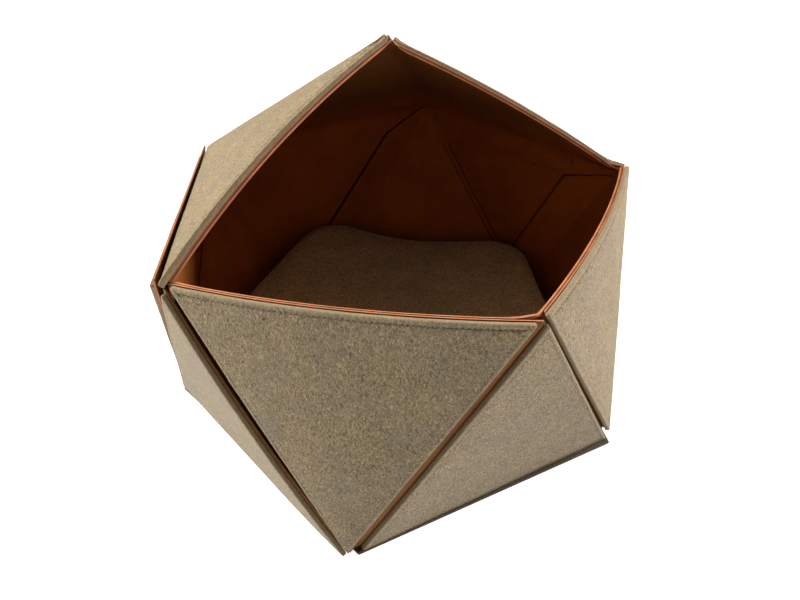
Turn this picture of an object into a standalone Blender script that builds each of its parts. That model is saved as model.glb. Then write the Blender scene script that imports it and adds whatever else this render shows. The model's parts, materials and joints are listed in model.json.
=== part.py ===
"""Cat house: a faceted felt shell with a leather backing and lining, and a floor cushion.

The shell is an icosahedron without its bottom five faces, closed by a flat pentagon that
it stands on. Two of the five top faces are left out for the mouth, which faces -Y and up.
Metres, +Z up. The origin is on the ground under the middle of the base.
"""

import math

import bmesh
import bpy
from mathutils import Matrix, Vector

# Driving dimensions
EDGE = 0.265  # side of every triangle, fold line to fold line
FELT_THICKNESS = 0.0044
BACKING_THICKNESS = 0.0020
LINING_THICKNESS = 0.0020
LAYER_GAP = 0.0003  # between two layers that lie on each other
SEAM_INSET = 0.0040  # felt edge to fold line
BACKING_INSET = 0.0004  # backing edge to fold line
FELT_CORNER_RADIUS = 0.0035
BACKING_CORNER_RADIUS = 0.0040
CORNER_STEPS = 3
RIM_STEPS = 12  # straight pieces along a bowed rim
MITRE_REACH = 1e-4  # share of a rim step within which a point is on the line between two facets

# Cushion
CUSHION_INRADIUS = 0.178
CUSHION_CORNER_RADIUS = 0.048
CUSHION_SIDE_DIP = 0.003  # how far each side draws in between two corners
CUSHION_HEIGHT = 0.063  # from its underside to its top edge
CUSHION_GAP = 0.0004  # above the lining
CUSHION_CORNER_STEPS = 6
CUSHION_SIDE_STEPS = 4
# Where the cushion has been pushed up the wall: heading in degrees, height there
CUSHION_RISE = ((18.0, 0.010), (106.0, 0.026))
CUSHION_RISE_REACH = 0.200  # from that place, where the rise has died out

# Each ring of the cushion from the underside up: share of its plan, of its height and of the rise
CUSHION_RINGS = (
    (0.945, 0.00, 0.0),
    (0.985, 0.12, 0.1),
    (1.000, 0.45, 0.4),
    (0.990, 0.78, 0.8),
    (0.955, 0.95, 1.0),
    (0.880, 1.02, 1.0),
    (0.620, 1.06, 1.0),
    (0.300, 1.08, 1.0),
    (0.000, 1.09, 1.0),
)

# Base
BASE_BACKING_INSET = 0.0025  # clears the belt's backings

# Where the soft shell has settled away from the regular form: corner, x, y, z
SETTLED = {
    "U0": (-0.002, 0.000, -0.002),
    "U1": (0.000, 0.000, -0.002),
    "U2": (0.000, 0.002, -0.001),
    "U3": (0.001, 0.002, 0.000),
    "U4": (0.002, 0.000, -0.004),
    "T": (-0.002, -0.003, -0.009),
    "L0": (-0.003, -0.003, 0.000),
    "L1": (0.005, -0.002, 0.000),
    "L2": (0.003, 0.000, 0.000),
    "L3": (0.001, -0.002, 0.000),
    "L4": (-0.006, 0.005, 0.000),
}

# Each panel: its first two corners, its last corner, and how far a free first side bows out
PANELS = {
    "front_left": ("U0", "U1", "L0", 0.014),
    "front": ("L0", "L1", "U1", None),
    "front_right": ("U1", "U2", "L1", 0.010),
    "right_front": ("L1", "L2", "U2", None),
    "right_back": ("U2", "U3", "L2", None),
    "back_right": ("L2", "L3", "U3", None),
    "back": ("U3", "U4", "L3", None),
    "back_left": ("L3", "L4", "U4", None),
    "left_back": ("U4", "U0", "L4", None),
    "left_front": ("L4", "L0", "U0", None),
    "hood_left": ("T", "U0", "U4", 0.011),
    "hood_back": ("U3", "U4", "T", None),
    "hood_right": ("U2", "T", "U3", 0.0055),
}

# How far a panel's corner stands off the lining along the panel's own normal
STAND_OFF = {
    ("front_left", "U1"): 0.006,
    ("front_left", "L0"): 0.003,
    ("front", "U1"): 0.002,
    ("front", "L0"): 0.004,
    ("left_back", "U0"): 0.007,
    ("left_back", "U4"): 0.002,
    ("left_front", "U0"): 0.004,
}

CORNERS = 5
TURN = 2 * math.pi / CORNERS
RADIUS = EDGE / (2 * math.sin(math.pi / CORNERS))
BELT_HEIGHT = RADIUS
CAP_HEIGHT = math.sqrt(EDGE**2 - RADIUS**2)
UPPER_START = math.radians(-162)
LOWER_START = math.radians(-126)
FLOOR = FELT_THICKNESS + LAYER_GAP  # height of the lower fold corners
WALL_LEAN = (RADIUS - EDGE / (2 * math.tan(math.pi / CORNERS))) / BELT_HEIGHT
CUSHION_REACH = (CUSHION_INRADIUS - CUSHION_CORNER_RADIUS) / math.cos(math.pi / CORNERS)


def heading_vector(angle):
    """The flat direction at an angle from +X."""
    return Vector((math.cos(angle), math.sin(angle)))


def fold_corners():
    """The eleven fold corners: lower ring L, upper ring U, and the top T."""
    corners = {}
    for k in range(CORNERS):
        upper = UPPER_START + k * TURN
        lower = LOWER_START + k * TURN
        corners[f"U{k}"] = (heading_vector(upper) * RADIUS).to_3d() + Vector((0, 0, FLOOR + BELT_HEIGHT))
        corners[f"L{k}"] = (heading_vector(lower) * RADIUS).to_3d() + Vector((0, 0, FLOOR))
    corners["T"] = Vector((0, 0, FLOOR + BELT_HEIGHT + CAP_HEIGHT))
    for name, offset in SETTLED.items():
        corners[name] += Vector(offset)
    return corners


FOLD = fold_corners()
BASE = [f"L{k}" for k in range(CORNERS)]
MIDDLE = sum(FOLD.values(), Vector()) / len(FOLD)


def outward(normal, point):
    """The same direction, turned away from the middle of the house."""
    return normal if normal.dot(point - MIDDLE) > 0 else -normal


def flat_normal(names):
    """Outward normal of the plane through three fold corners."""
    a, b, c = (FOLD[name] for name in names[:3])
    return outward((b - a).cross(c - a).normalized(), a)


def side_angles(name):
    """For each side of a panel, half the angle to its neighbour's normal; None for a free side."""
    own = PANELS[name][:3]
    sides = []
    for i in range(3):
        pair = {own[i], own[(i + 1) % 3]}
        near = []
        for other, row in PANELS.items():
            if other != name and pair <= set(row[:3]):
                near.append(flat_normal(row[:3]))
        if pair <= set(BASE):
            near.append(Vector((0, 0, -1)))
        sides.append(flat_normal(own).angle(near[0]) / 2 if near else None)
    return sides


class Panel:
    """One triangle of the shell as a surface of flat facets that all meet in its last corner.

    Its first side may bow, and is then cut into RIM_STEPS straight pieces, one for each facet.
    """

    def __init__(self, name, lifted):
        first, second, last, bow = PANELS[name]
        self.normal = flat_normal((first, second, last))
        self.corners = []
        for corner in (first, second, last):
            lift = STAND_OFF.get((name, corner), 0.0) if lifted else 0.0
            self.corners.append(FOLD[corner] + self.normal * lift)
        self.bow = bow or 0.0
        self.angles = side_angles(name)
        a, b, c = self.corners
        self.x_axis = (b - a).normalized()
        across = c - a
        self.y_axis = (across - self.x_axis * across.dot(self.x_axis)).normalized()
        self.flat = [self.to_flat(p) for p in self.corners]
        self.steps = RIM_STEPS if self.bow else 1
        self.rim = [self.rim_point(i / self.steps) for i in range(self.steps + 1)]
        self.facets = [self.facet_normal(i) for i in range(self.steps)]

    def to_flat(self, point):
        offset = point - self.corners[0]
        return Vector((offset.dot(self.x_axis), offset.dot(self.y_axis)))

    def rim_point(self, along):
        a, b, _ = self.corners
        return a.lerp(b, along) + self.normal * (self.bow * 4 * along * (1 - along))

    def facet_normal(self, i):
        last = self.corners[2]
        return outward((self.rim[i + 1] - self.rim[i]).cross(self.rim[i] - last).normalized(), last)

    def along(self, flat):
        """How far along the first side the line from the last corner through a place meets it."""
        share = 1 - flat.y / self.flat[2].y
        left = self.flat[2].x * (1 - share)
        return (flat.x - left) / (self.flat[1].x * share)

    def lean(self, along):
        """The move that takes a place on the surface one unit out, mitred where two facets meet."""
        spot = along * self.steps
        nearest = round(spot)
        if abs(spot - nearest) < MITRE_REACH and 0 < nearest < self.steps:
            a, b = self.facets[nearest - 1], self.facets[nearest]
            return (a + b) / (1 + a.dot(b))
        return self.facets[min(max(int(spot), 0), self.steps - 1)]

    def place(self, flat, level):
        """The point of the surface at a place in the flat triangle, moved out by level."""
        along = self.along(flat)
        share = 1 - flat.y / self.flat[2].y
        spot = along * self.steps
        i = min(max(int(spot), 0), self.steps - 1)
        rim = self.rim[i].lerp(self.rim[i + 1], spot - i)
        last = self.corners[2]
        return last + (rim - last) * share + self.lean(along) * level

    def outline(self, insets, radius):
        """Flat outline with an arc at each corner, and a point wherever it crosses into another facet."""
        points = round_corners(inset_corners(self.flat, insets), radius)
        cut = []
        for start, end in zip(points, points[1:] + points[:1]):
            cut.append(start)
            a, b = self.along(start) * self.steps, self.along(end) * self.steps
            low, high = sorted((a, b))
            between = range(math.floor(low) + 1, math.ceil(high))
            for i in sorted(between, reverse=a > b):
                if min(i - low, high - i) > MITRE_REACH:
                    on_rim = self.flat[0].lerp(self.flat[1], i / self.steps)
                    cut.append(crossing(start, end, self.flat[2], on_rim))
        return cut

    def facet_loops(self, points):
        """The outline's points grouped by facet, in order, so that each group is a flat face."""
        spots = [self.along(point) * self.steps for point in points]
        loops = []
        for i in range(self.steps):
            reach = (i - MITRE_REACH, i + 1 + MITRE_REACH)
            if i == 0:
                reach = (-math.inf, reach[1])
            if i == self.steps - 1:
                reach = (reach[0], math.inf)
            loops.append([k for k, spot in enumerate(spots) if reach[0] <= spot <= reach[1]])
        return loops


def crossing(start, end, from_point, to_point):
    """Where the line from start to end crosses the line through the other two points."""
    run, cut = end - start, to_point - from_point
    cross = run.x * cut.y - run.y * cut.x
    offset = from_point - start
    return start + run * ((offset.x * cut.y - offset.y * cut.x) / cross)


def inset_corners(corners, insets):
    """The corners of a flat outline after each side has moved in by its own inset."""
    lines = []
    for i, start in enumerate(corners):
        run = (corners[(i + 1) % len(corners)] - start).normalized()
        shifted = start + Vector((-run.y, run.x)) * insets[i]
        lines.append((shifted, shifted + run))
    return [crossing(*lines[i - 1], *lines[i]) for i in range(len(corners))]


def round_corners(corners, radius):
    """The outline with each corner replaced by an arc of a few steps."""
    points = []
    for i, corner in enumerate(corners):
        back = (corners[i - 1] - corner).normalized()
        ahead = (corners[(i + 1) % len(corners)] - corner).normalized()
        half = back.angle(ahead) / 2
        centre = corner + (back + ahead).normalized() * (radius / math.sin(half))
        first = corner + back * (radius / math.tan(half)) - centre
        last = corner + ahead * (radius / math.tan(half)) - centre
        for step in range(CORNER_STEPS + 1):
            points.append(centre + first.lerp(last, step / CORNER_STEPS).normalized() * radius)
    return points


def finish_object(name, bm, material):
    """Turns the bmesh into a named object with outward faces."""
    bmesh.ops.recalc_face_normals(bm, faces=bm.faces)
    mesh = bpy.data.meshes.new(name)
    bm.to_mesh(mesh)
    bm.free()
    obj = bpy.data.objects.new(name, mesh)
    obj.data.materials.append(material)
    bpy.context.collection.objects.link(obj)
    return obj


def extrude_to(bm, faces, places):
    """Extrudes the faces and puts each new vertex where places says for the old one."""
    old = {vert for face in faces for vert in face.verts}
    made = bmesh.ops.extrude_face_region(bm, geom=faces, use_keep_orig=True)["geom"]
    new = [item for item in made if isinstance(item, bmesh.types.BMVert)]
    by_place = {tuple(vert.co): places[vert] for vert in old}
    for vert in new:
        vert.co = by_place[tuple(vert.co)]


def panel_sheet(name, panel, outer_level, inner_level, insets_at, radius, material):
    """A triangle of sheet between two levels of its panel's surface."""
    outer = panel.outline(insets_at(outer_level), radius)
    inner = panel.outline(insets_at(inner_level), radius)
    bm = bmesh.new()
    ring = [bm.verts.new(panel.place(point, outer_level)) for point in outer]
    places = {vert: panel.place(point, inner_level) for vert, point in zip(ring, inner)}
    faces = [bm.faces.new([ring[k] for k in loop]) for loop in panel.facet_loops(outer)]
    extrude_to(bm, faces, places)
    return finish_object(name, bm, material)


def felt_insets(panel):
    """The felt stops short of each fold, and reaches a free side."""
    sides = [0.0 if angle is None else SEAM_INSET for angle in panel.angles]
    return lambda level: sides


def backing_insets(panel):
    """The backing reaches each fold and is mitred there, so that neighbours clear each other."""

    def insets(level):
        return [
            0.0 if angle is None else BACKING_INSET + max(0.0, -level) * math.tan(angle)
            for angle in panel.angles
        ]

    return insets


def offset_direction(normals):
    """The move that takes a corner one unit out from every plane whose normal is given."""
    rows = [[sum(n[i] * n[j] for n in normals) for j in range(3)] for i in range(3)]
    right = [sum(n[i] for n in normals) for i in range(3)]
    return Matrix(rows).inverted() @ Vector(right)


def build_lining(material):
    """The inner leather layer: all thirteen panels and the floor in one folded sheet."""
    outer_level = -(BACKING_THICKNESS + LAYER_GAP)
    inner_level = outer_level - LINING_THICKNESS
    normals = {name: [] for name in FOLD}
    for first, second, last, _ in PANELS.values():
        for name in (first, second, last):
            normals[name].append(flat_normal((first, second, last)))
    for name in BASE:
        normals[name].append(Vector((0, 0, -1)))
    bm = bmesh.new()
    verts = {}
    places = {}
    for name, point in FOLD.items():
        direction = offset_direction(normals[name])
        verts[name] = bm.verts.new(point + direction * outer_level)
        places[verts[name]] = point + direction * inner_level
    faces = []
    for name, (first, second, last, bow) in PANELS.items():
        row = [verts[first]]
        if bow:
            panel = Panel(name, lifted=False)
            for step in range(1, RIM_STEPS):
                direction = panel.lean(step / RIM_STEPS)
                vert = bm.verts.new(panel.rim[step] + direction * outer_level)
                places[vert] = panel.rim[step] + direction * inner_level
                row.append(vert)
        row.append(verts[second])
        for a, b in zip(row, row[1:]):
            faces.append(bm.faces.new((a, b, verts[last])))
    faces.append(bm.faces.new([verts[name] for name in BASE]))
    extrude_to(bm, faces, places)
    return finish_object("lining", bm, material)


def base_sheet(name, low, high, inset, radius, material):
    """A flat pentagon between two heights, its sides inset from the lower folds."""
    corners = [FOLD[corner].xy for corner in BASE]
    outline = round_corners(inset_corners(corners, [inset] * CORNERS), radius)
    bm = bmesh.new()
    ring = [bm.verts.new((point.x, point.y, low)) for point in outline]
    face = bm.faces.new(ring)
    places = {vert: Vector((vert.co.x, vert.co.y, high)) for vert in ring}
    extrude_to(bm, [face], places)
    return finish_object(name, bm, material)


def cushion_outline():
    """Plan of the cushion: a pentagon with round corners whose sides draw in a little."""
    points = []
    for k in range(CORNERS):
        heading = LOWER_START + k * TURN
        centre = heading_vector(heading) * CUSHION_REACH
        for step in range(CUSHION_CORNER_STEPS + 1):
            turn = heading - TURN / 2 + TURN * step / CUSHION_CORNER_STEPS
            points.append(centre + heading_vector(turn) * CUSHION_CORNER_RADIUS)
        middle = heading_vector(heading + TURN / 2)
        start = points[-1]
        end = heading_vector(heading + TURN) * CUSHION_REACH + middle * CUSHION_CORNER_RADIUS
        for step in range(1, CUSHION_SIDE_STEPS + 1):
            along = step / (CUSHION_SIDE_STEPS + 1)
            dip = CUSHION_SIDE_DIP * math.sin(math.pi * along)
            points.append(start.lerp(end, along) - middle * dip)
    return points


def cushion_rise(point):
    """How far the cushion is lifted near a place where it has been pushed up the wall."""
    rise = 0.0
    for heading, amount in CUSHION_RISE:
        high = heading_vector(math.radians(heading)) * (CUSHION_REACH + CUSHION_CORNER_RADIUS)
        near = max(0.0, 1 - (high - point).length / CUSHION_RISE_REACH)
        rise += amount * near * near * (3 - 2 * near)
    return rise


def build_cushion(material):
    """The filled floor cushion: a flat underside, round sides and a crowned top."""
    bottom = FLOOR + BACKING_THICKNESS + LAYER_GAP + LINING_THICKNESS + CUSHION_GAP
    outline = cushion_outline()
    count = len(outline)
    bm = bmesh.new()
    loops = []
    for share, height, lift in CUSHION_RINGS[:-1]:
        loop = []
        for point in outline:
            place = point * share
            rise = cushion_rise(place) * lift
            place -= place.normalized() * (rise * WALL_LEAN)
            loop.append(bm.verts.new((place.x, place.y, bottom + CUSHION_HEIGHT * height + rise)))
        loops.append(loop)
    bm.faces.new(list(reversed(loops[0])))
    for low, high in zip(loops, loops[1:]):
        for i in range(count):
            j = (i + 1) % count
            bm.faces.new((low[i], low[j], high[j], high[i]))
    top = bm.verts.new((0, 0, bottom + CUSHION_HEIGHT * CUSHION_RINGS[-1][1]))
    for i in range(count):
        bm.faces.new((loops[-1][i], loops[-1][(i + 1) % count], top))
    cushion = finish_object("cushion", bm, material)
    cushion.data.shade_smooth()
    return cushion


def surface_material(name, colour, roughness):
    """A plain Principled surface with the piece's colour."""
    material = bpy.data.materials.new(name)
    material.use_nodes = True
    shader = material.node_tree.nodes["Principled BSDF"]
    shader.inputs["Base Color"].default_value = (*colour, 1)
    shader.inputs["Roughness"].default_value = roughness
    shader.inputs["Metallic"].default_value = 0.0
    return material


def main():
    for obj in list(bpy.data.objects):
        bpy.data.objects.remove(obj, do_unlink=True)
    felt = surface_material("grey_beige_felt", (0.36, 0.29, 0.19), 0.95)
    leather = surface_material("tan_leather", (0.42, 0.17, 0.06), 0.55)
    pile = surface_material("beige_pile", (0.38, 0.30, 0.19), 0.95)
    felt_top = LAYER_GAP + FELT_THICKNESS
    for name in PANELS:
        panel = Panel(name, lifted=True)
        sheet = f"felt_{name}"
        panel_sheet(sheet, panel, felt_top, LAYER_GAP, felt_insets(panel), FELT_CORNER_RADIUS, felt)
        sheet = f"backing_{name}"
        insets = backing_insets(panel)
        panel_sheet(sheet, panel, 0.0, -BACKING_THICKNESS, insets, BACKING_CORNER_RADIUS, leather)
    base_sheet("base_felt", 0.0, FELT_THICKNESS, SEAM_INSET, FELT_CORNER_RADIUS, felt)
    high = FLOOR + BACKING_THICKNESS
    base_sheet("base_backing", FLOOR, high, BASE_BACKING_INSET, BACKING_CORNER_RADIUS, leather)
    build_lining(leather)
    build_cushion(pile)


main()
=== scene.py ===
"""Cat house of felt panels with a tan leather backing and lining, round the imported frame."""

import json
import math

import bmesh
import bpy
import numpy as np
from mathutils import Matrix, Vector, noise
from mathutils.bvhtree import BVHTree

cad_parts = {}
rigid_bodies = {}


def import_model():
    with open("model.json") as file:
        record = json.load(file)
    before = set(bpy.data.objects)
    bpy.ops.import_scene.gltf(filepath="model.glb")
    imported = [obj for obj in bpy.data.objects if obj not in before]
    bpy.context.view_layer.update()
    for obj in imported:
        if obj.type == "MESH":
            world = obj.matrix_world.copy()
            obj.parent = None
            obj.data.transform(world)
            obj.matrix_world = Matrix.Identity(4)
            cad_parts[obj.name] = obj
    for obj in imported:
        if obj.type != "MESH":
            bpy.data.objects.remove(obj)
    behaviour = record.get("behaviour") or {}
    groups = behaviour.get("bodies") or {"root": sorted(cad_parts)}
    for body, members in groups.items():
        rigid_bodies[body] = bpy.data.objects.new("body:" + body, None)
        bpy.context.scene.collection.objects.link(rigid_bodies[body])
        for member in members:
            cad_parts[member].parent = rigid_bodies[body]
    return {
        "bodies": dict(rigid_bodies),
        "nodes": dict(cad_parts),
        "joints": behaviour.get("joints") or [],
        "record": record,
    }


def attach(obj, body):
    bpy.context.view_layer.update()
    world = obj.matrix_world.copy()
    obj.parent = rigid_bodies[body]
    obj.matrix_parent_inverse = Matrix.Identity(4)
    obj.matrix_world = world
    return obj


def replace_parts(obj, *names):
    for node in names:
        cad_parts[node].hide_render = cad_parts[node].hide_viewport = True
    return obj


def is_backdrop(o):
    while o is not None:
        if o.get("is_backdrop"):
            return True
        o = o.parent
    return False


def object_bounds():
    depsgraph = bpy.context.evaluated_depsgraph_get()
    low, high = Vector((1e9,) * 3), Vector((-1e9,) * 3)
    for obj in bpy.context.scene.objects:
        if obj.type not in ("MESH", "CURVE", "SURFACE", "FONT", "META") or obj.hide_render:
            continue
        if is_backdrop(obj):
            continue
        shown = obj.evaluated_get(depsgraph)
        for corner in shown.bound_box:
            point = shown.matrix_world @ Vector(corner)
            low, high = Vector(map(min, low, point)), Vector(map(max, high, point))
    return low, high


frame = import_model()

bl_info = {
    "name": "Cat house",
    "version": (1, 0, 0),
    "blender": (4, 5, 0),
    "location": "View3D > Sidebar > Cat house",
    "description": "Models a faceted felt cat house with a leather lining and a floor cushion",
    "category": "Object",
}

CAD_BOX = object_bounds()
MM = 0.001

# Shell, the same as in the part's source
LAYER_GAP = 0.3 * MM
# How far each fold corner lies from the even shape's corner
SETTLED = {
    "U0": (-0.002, 0.000, -0.002),
    "U1": (0.000, 0.000, -0.002),
    "U2": (0.000, 0.002, -0.001),
    "U3": (0.001, 0.002, 0.000),
    "U4": (0.002, 0.000, -0.004),
    "T": (-0.002, -0.003, -0.009),
    "L0": (-0.003, -0.003, 0.000),
    "L1": (0.005, -0.002, 0.000),
    "L2": (0.003, 0.000, 0.000),
    "L3": (0.001, -0.002, 0.000),
    "L4": (-0.006, 0.005, 0.000),
}
# The three fold corners of each panel, and the bow of its first side
PANELS = {
    "front_left": ("U0", "U1", "L0", 0.014),
    "front": ("L0", "L1", "U1", 0.0),
    "front_right": ("U1", "U2", "L1", 0.010),
    "right_front": ("L1", "L2", "U2", 0.0),
    "right_back": ("U2", "U3", "L2", 0.0),
    "back_right": ("L2", "L3", "U3", 0.0),
    "back": ("U3", "U4", "L3", 0.0),
    "back_left": ("L3", "L4", "U4", 0.0),
    "left_back": ("U4", "U0", "L4", 0.0),
    "left_front": ("L4", "L0", "U0", 0.0),
    "hood_left": ("T", "U0", "U4", 0.011),
    "hood_back": ("U3", "U4", "T", 0.0),
    "hood_right": ("U2", "T", "U3", 0.0057),
}
# How far a panel's corner stands outside the fold corner
STAND_OFF = {
    ("front_left", "U1"): 0.006,
    ("front_left", "L0"): 0.003,
    ("front", "U1"): 0.002,
    ("front", "L0"): 0.004,
    ("left_back", "U0"): 0.0100,
    ("left_back", "U4"): 0.0058,
    ("hood_left", "U4"): -0.002,
    ("hood_left", "T"): -0.0015,
    ("hood_right", "U2"): -0.0055,
    ("hood_right", "T"): -0.0035,
    ("hood_back", "T"): -0.002,
    ("hood_back", "U4"): -0.002,
    ("left_front", "U0"): 0.004,
    ("left_front", "L0"): 0.005,
}
# Where a panel's corner lies away from the fold corner, as it has been pulled or cut
CORNER_SHIFT = {
    ("front_right", "U2"): (0.000, 0.000, 0.004),
    ("front_right", "L1"): (0.0026, -0.0016, -0.0062),
    ("left_front", "L0"): (0.0015, -0.0055, 0.000),
}
# How far a felt corner curls up
CURL = {("hood_left", "T"): 0.0012, ("hood_right", "T"): 0.0006}
CURL_REACH = 7 * MM
# How far a panel's side swells outwards half way between its corners: panel, number of the side
SWELL = {
    ("left_front", 1): 0.0045,
    ("front_left", 2): 0.0018,
    ("front", 2): 0.0010,
}
# Distance in mm from each side of a felt panel to the fold, at the side's start and end
FELT_INSETS = {
    "front_left": ((0.8, 0.8), (1.2, -0.6), (-1.0, 3.2)),
    "front": ((-2.5, -2.5), (-0.5, -1.4), (6.0, 7.6)),
    "front_right": ((0.8, -1.6), (9.6, 1.3), (7.0, 3.2)),
    "left_front": ((5.0, -3.0), (3.6, 3.0), (3.0, -2.0)),
    "left_back": ((9.0, 9.0), (2.0, 3.0), (3.0, 3.0)),
    "hood_left": ((-0.9, -0.9), (-4.5, -1.0), (5.0, 2.5)),
    "hood_right": ((0.8, 0.8), (2.2, 3.0), (3.0, 8.0)),
    "hood_back": ((3.0, 3.0), (3.0, 1.0), (1.0, 3.0)),
}
FELT_INSET_ELSEWHERE = ((3.0, 3.0),) * 3
# The same for the base, whose felt reaches past the folds
BASE_FELT_INSETS = ((-9.5, -9.5), (-4.0, -4.0), (-4.0, -4.0), (-4.0, -4.0), (-4.0, 1.0))
# Backing of a panel that stands out past the fold, flat, in mm at the side's start and end
FLANGES = {
    ("front_left", 1): (3.2, 3.6),
    ("front_left", 2): (2.4, -0.4),
    ("left_front", 1): (1.0, -1.0),
    ("left_back", 0): (2.0, 2.0),
}
# Panels whose backing runs on over the fold, up to the next panel's felt: panel, fold
FLAPS = (
    ("front", "L1", "U1"),
    ("front_right", "U2", "L1"),
    ("right_front", "L2", "U2"),
    ("right_back", "U3", "L2"),
    ("back_right", "L3", "U3"),
    ("back", "U4", "L3"),
    ("back_left", "L4", "U4"),
    ("hood_back", "U3", "U4"),
    ("hood_back", "U4", "T"),
    ("hood_right", "T", "U3"),
    ("hood_right", "U3", "U2"),
)
# Panels whose backing's cut edge takes the dark face leather instead of the pale cut edge colour, as
# painted shade
PAINTED_SHADE_EDGE = ("left_front",)
CORNERS = 5
TURN = math.tau / CORNERS

# Floor cushion, the same as in the part's source
CUSHION_INRADIUS = 0.178
CUSHION_CORNER_RADIUS = 0.048
CUSHION_REACH = (CUSHION_INRADIUS - CUSHION_CORNER_RADIUS) / math.cos(TURN / 2)
CUSHION_SIDE_DIP = 0.003
CUSHION_GAP = 0.4 * MM
CUSHION_RISE = ((18.0, 0.010), (106.0, 0.026))  # heading in degrees, height
CUSHION_RISE_REACH = 0.188
CUSHION_CORNER_STEPS = 10
CUSHION_SIDE_STEPS = 14
WALL_LEAN = 0.05  # how far a lifted corner leans in, as a share of its rise
# Each ring of the cushion from its underside up: share of its plan, of its height and of its rise
CUSHION_RINGS = (
    (0.50, 0.00, 0.0),
    (0.92, 0.00, 0.0),
    (0.965, 0.06, 0.1),
    (0.988, 0.25, 0.2),
    (0.994, 0.50, 0.4),
    (0.992, 0.78, 0.8),
    (0.980, 0.925, 1.0),
    (0.950, 0.990, 1.0),
    (0.890, 1.02, 1.0),
    (0.620, 1.045, 1.0),
    (0.300, 1.06, 1.0),
)


def length_property(name, description, default):
    return bpy.props.FloatProperty(name=name, description=description, default=default, unit="LENGTH")


class CatHouseSizes(bpy.types.PropertyGroup):
    """Sizes of the cat house that a user would change."""

    edge: length_property("Panel side", "Side of every triangle from fold to fold", 0.265)
    felt: length_property("Felt thickness", "Thickness of the outer felt", 0.0044)
    leather: length_property("Leather thickness", "Thickness of backing and lining", 0.0017)
    stitch_inset: length_property("Stitch line", "Distance from a felt's edge to its stitches", 0.0044)
    stitch_pitch: length_property("Stitch pitch", "Distance from one stitch to the next", 0.0040)
    cushion: length_property("Cushion height", "Height of its upper edge above its underside", 0.063)


def colour_property(name, place, default):
    return bpy.props.FloatVectorProperty(
        name=name,
        description=f"Colour of the {place}",
        default=default,
        size=3,
        min=0,
        max=1,
        subtype="COLOR",
    )


class CatHouseColours(bpy.types.PropertyGroup):
    """Colours of the cat house that a user would change."""

    felt_dark: colour_property("Felt, dark fibres", "darker wool", (0.079, 0.059, 0.031))
    felt_light: colour_property("Felt, light fibres", "paler wool", (0.378, 0.289, 0.166))
    leather: colour_property("Leather", "leather's face", (0.180, 0.070, 0.015))
    lining: colour_property("Lining", "lining's face", (0.380, 0.142, 0.030))
    leather_edge: colour_property("Leather edge", "leather's cut edge", (0.500, 0.195, 0.098))
    pile: colour_property("Cushion pile", "cushion's cover", (0.650, 0.665, 0.450))
    thread: colour_property("Thread", "sewing thread", (0.420, 0.340, 0.230))


def sizes():
    return bpy.context.scene.cat_house_sizes


def colours():
    return bpy.context.scene.cat_house_colours


# Shape of the shell


def heading_vector(angle):
    """The flat direction at an angle from +X."""
    return Vector((math.cos(angle), math.sin(angle)))


def fold_corners():
    """The eleven fold corners: lower ring L, upper ring U, and the top T."""
    edge = sizes().edge
    radius = edge / (2 * math.sin(math.pi / CORNERS))
    floor = sizes().felt + LAYER_GAP
    corners = {}
    for k in range(CORNERS):
        upper = heading_vector(math.radians(-162) + k * TURN) * radius
        lower = heading_vector(math.radians(-126) + k * TURN) * radius
        corners[f"U{k}"] = Vector((upper.x, upper.y, floor + radius))
        corners[f"L{k}"] = Vector((lower.x, lower.y, floor))
    corners["T"] = Vector((0, 0, floor + radius + math.sqrt(edge**2 - radius**2)))
    for name, offset in SETTLED.items():
        corners[name] += Vector(offset)
    return corners


def shell_normal(fold, names):
    """Outward normal of the plane through three fold corners."""
    a, b, c = (fold[name] for name in names[:3])
    middle = sum(fold.values(), Vector()) / len(fold)
    normal = (b - a).cross(c - a).normalized()
    return normal if normal.dot(a - middle) > 0 else -normal


def neighbour(name, side):
    """The panel that shares a side, or None at the mouth and over the base."""
    for other, row in PANELS.items():
        if other != name and set(side) <= set(row[:3]):
            return other
    return None


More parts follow.
